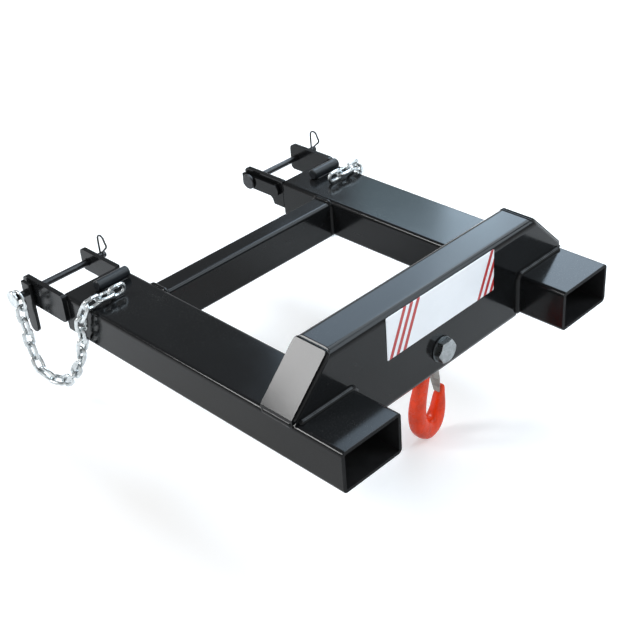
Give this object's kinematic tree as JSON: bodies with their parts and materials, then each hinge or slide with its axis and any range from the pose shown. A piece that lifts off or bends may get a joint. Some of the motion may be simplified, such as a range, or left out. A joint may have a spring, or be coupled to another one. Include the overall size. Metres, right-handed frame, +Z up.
{
  "type": "pallet fork attachment",
  "caption": "Lifting beam on a pair of fork pockets, with a latched hook under the beam and chained retaining pins behind the pockets.",
  "frame": {"origin": "midway between the two pockets, at the ends of their toes and the level of their underside", "axes": "+X to the right seen from the toe end, +Y from toe to heel, +Z up"},
  "size_m": [0.7703, 0.7849, 0.3345],
  "materials": {
    "black_paint": "gloss",
    "orange_red_paint": "satin",
    "bright_zinc": "satin",
    "dark_steel": "satin"
  },
  "bodies": {
    "frame": {"front_spacer": "bright_zinc", "front_washer": "dark_steel", "hook_bolt": "bright_zinc", "hook_nut": "bright_zinc", "left_beam_cap": "black_paint", "left_chain": "bright_zinc", "left_chain_anchor": "bright_zinc", "left_fork_pocket": "black_paint", "left_heel_bar": "black_paint", "left_heel_ear_east": "black_paint", "left_heel_ear_west": "black_paint", "lifting_beam": "black_paint", "rear_cross_tube": "black_paint", "rear_spacer": "bright_zinc", "rear_washer": "dark_steel", "right_beam_cap": "black_paint", "right_chain": "bright_zinc", "right_chain_anchor": "bright_zinc", "right_fork_pocket": "black_paint", "right_heel_bar": "black_paint", "right_heel_ear_east": "black_paint", "right_heel_ear_west": "black_paint"},
    "hook": {"hook": "orange_red_paint", "latch_pin": "bright_zinc"},
    "latch": {"hook_latch": "bright_zinc", "latch_spring": "bright_zinc"},
    "left_pin": {"left_heel_pin": "dark_steel", "left_pin_flag": "black_paint", "left_chain_ring": "bright_zinc"},
    "left_clip": {"left_hairpin_clip": "dark_steel"},
    "right_pin": {"right_heel_pin": "dark_steel", "right_pin_flag": "black_paint", "right_chain_ring": "bright_zinc"},
    "right_clip": {"right_hairpin_clip": "dark_steel"}
  },
  "joints": [
    {"name": "hook_swing", "type": "hinge", "parent": "frame", "child": "hook", "pos_m": [0, 0.13208, 0.03632], "axis": [0, 1, 0], "range_deg": [-15, 15]},
    {"name": "latch_open", "type": "hinge", "parent": "hook", "child": "latch", "pos_m": [0.016, 0.13208, -0.03353], "axis": [0, 1, 0], "range_deg": [0, 35], "stiffness_Nm_per_rad": 0.06, "springref_deg": -28.65, "deforming": ["latch_spring"]},
    {"name": "left_pin_slide", "type": "slide", "parent": "frame", "child": "left_pin", "axis": [-1, 0, 0], "range_m": [0, 0.016], "deforming": ["left_chain"]},
    {"name": "left_clip_pull", "type": "slide", "parent": "left_pin", "child": "left_clip", "axis": [0, 0, 1], "range_m": [0, 0.05]},
    {"name": "right_pin_slide", "type": "slide", "parent": "frame", "child": "right_pin", "axis": [-1, 0, 0], "range_m": [0, 0.012], "deforming": ["right_chain"]},
    {"name": "right_clip_pull", "type": "slide", "parent": "right_pin", "child": "right_clip", "axis": [0, 0, 1], "range_m": [0, 0.05]}
  ]
}
